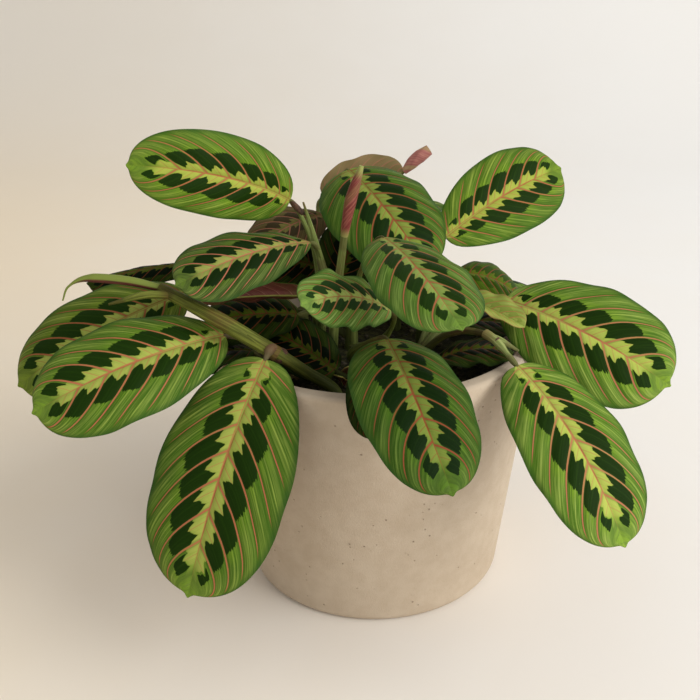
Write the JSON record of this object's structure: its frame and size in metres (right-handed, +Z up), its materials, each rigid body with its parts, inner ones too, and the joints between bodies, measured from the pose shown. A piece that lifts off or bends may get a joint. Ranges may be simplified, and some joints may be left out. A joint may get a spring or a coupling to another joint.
{
  "type": "potted_plant",
  "caption": "Potted prayer plant with patterned oval leaves, red veins and pale midribs, in a plain tapered stoneware pot",
  "frame": {"origin": "centre of the pot's flat base", "axes": "+Z up; the front, with the lowest hanging leaf, faces -Y"},
  "size_m": [0.296, 0.2715, 0.2307],
  "materials": {
    "stoneware": "matte unglazed",
    "potting_soil": "rough crumbly",
    "stalk": "smooth living stem",
    "leaf": "satin living leaf",
    "rolled_leaf": "satin young leaf"
  },
  "bodies": {
    "root": {"leaf_back": "leaf", "leaf_back_hanging_right": "leaf", "leaf_back_left": "leaf", "leaf_back_right": "leaf", "leaf_centre": "leaf", "leaf_crinkled_left": "leaf", "leaf_curled_left": "leaf", "leaf_dark_right": "leaf", "leaf_far_left": "leaf", "leaf_folded_right": "leaf", "leaf_front": "leaf", "leaf_hanging_left": "leaf", "leaf_hanging_right": "leaf", "leaf_inner_back_left": "leaf", "leaf_inner_back_right": "leaf", "leaf_inner_centre": "leaf", "leaf_inner_front": "leaf", "leaf_inner_left": "leaf", "leaf_left": "leaf", "leaf_low_back_left": "leaf", "leaf_low_back_right": "leaf", "leaf_low_left": "leaf", "leaf_low_right": "leaf", "leaf_right": "leaf", "leaf_rolled_left": "rolled_leaf", "leaf_shaded_front": "leaf", "leaf_shaded_left": "leaf", "leaf_shaded_right": "leaf", "leaf_spike": "rolled_leaf", "leaf_tucked_front": "leaf", "leaf_unrolling": "leaf", "leaf_unrolling_tip": "rolled_leaf", "leaf_upper_back": "leaf", "leaf_upper_back_left": "leaf", "leaf_upper_centre": "leaf", "leaf_upper_left": "leaf", "leaf_upper_right": "leaf", "leaf_young_pale": "leaf", "pot": "stoneware", "runner": "stalk", "shoot_back": "stalk", "shoot_back_left": "stalk", "shoot_back_middle": "stalk", "shoot_back_right": "stalk", "shoot_centre": "stalk", "shoot_front": "stalk", "shoot_left": "stalk", "shoot_right": "stalk", "shoot_spike": "stalk", "soil": "potting_soil"}
  },
  "joints": []
}
